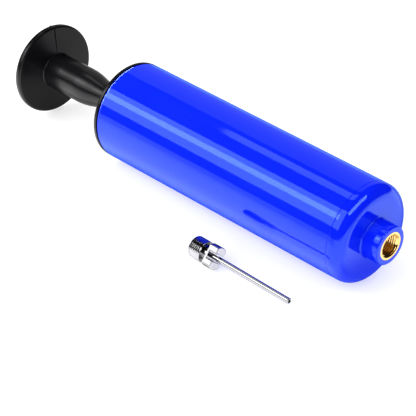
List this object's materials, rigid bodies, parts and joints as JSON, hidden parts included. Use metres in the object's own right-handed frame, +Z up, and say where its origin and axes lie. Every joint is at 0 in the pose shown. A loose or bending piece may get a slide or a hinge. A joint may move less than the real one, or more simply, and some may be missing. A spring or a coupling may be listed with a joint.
{
  "type": "double action hand pump",
  "caption": "Slim double action hand pump for balls: glossy drafted barrel, threaded brass nozzle, palm handle on a sliding rod with double-acting piston, and a loose inflation needle.",
  "frame": {"origin": "centre of the nozzle's mouth, on the pump's axis", "axes": "+X along the pump's axis and out of the nozzle, +Z up as the pump lies on its side, +Y to its left, away from the loose needle"},
  "size_m": [0.1713, 0.0522, 0.0368],
  "materials": {
    "blue_plastic": "high gloss moulded blue",
    "black_plastic": "gloss moulded black",
    "natural_plastic": "natural white moulding",
    "black_rubber": "soft black rubber",
    "brass": "bright turned brass",
    "chrome": "bright nickel-chrome plating",
    "steel": "bright steel"
  },
  "bodies": {
    "barrel": {"barrel_tube": "blue_plastic", "front_cap": "blue_plastic", "nozzle_insert": "brass", "front_cap_oring": "black_rubber", "end_cap": "black_plastic", "end_cap_oring": "black_rubber", "rod_bush": "natural_plastic", "rod_lip_seal": "black_rubber", "seal_retainer": "natural_plastic", "liner": "natural_plastic", "liner_gasket": "black_rubber", "band_valve": "black_rubber", "valve_plate": "natural_plastic", "outlet_spring": "steel", "spring_retainer": "steel"},
    "ball": {"outlet_ball": "steel"},
    "piston": {"piston_core": "natural_plastic", "rod_oring": "black_rubber", "push_cup_seal": "black_rubber", "pull_cup_seal": "black_rubber", "cup_washers": "steel", "piston_circlips": "steel", "inlet_seat": "natural_plastic", "inlet_cage": "natural_plastic"},
    "disc": {"inlet_disc": "black_rubber"},
    "handle": {"piston_rod": "steel", "rod_clip": "steel", "handle_grip": "black_plastic", "handle_washer": "steel", "handle_screw": "steel", "palm_plug": "black_plastic"},
    "needle": {"needle_hub": "chrome", "needle_tube": "chrome"}
  },
  "joints": [
    {"name": "plunger_stroke", "type": "slide", "parent": "barrel", "child": "piston", "axis": [-1, 0, 0], "range_m": [0, 0.08]},
    {"name": "handle_spin", "type": "hinge", "parent": "piston", "child": "handle", "pos_m": [-0.029, 0, 0], "axis": [1, 0, 0], "continuous": true},
    {"name": "outlet_ball_lift", "type": "slide", "parent": "barrel", "child": "ball", "axis": [1, 0, 0], "range_m": [0, 0.001], "stiffness_N_per_m": 80, "springref_m": -0.0005, "deforming": ["outlet_spring"]},
    {"name": "inlet_disc_lift", "type": "slide", "parent": "piston", "child": "disc", "axis": [1, 0, 0], "range_m": [0, 0.0009]},
    {"name": "needle_lift", "type": "slide", "parent": "barrel", "child": "needle", "axis": [0, 0, 1], "range_m": [0, 0.1]}
  ]
}
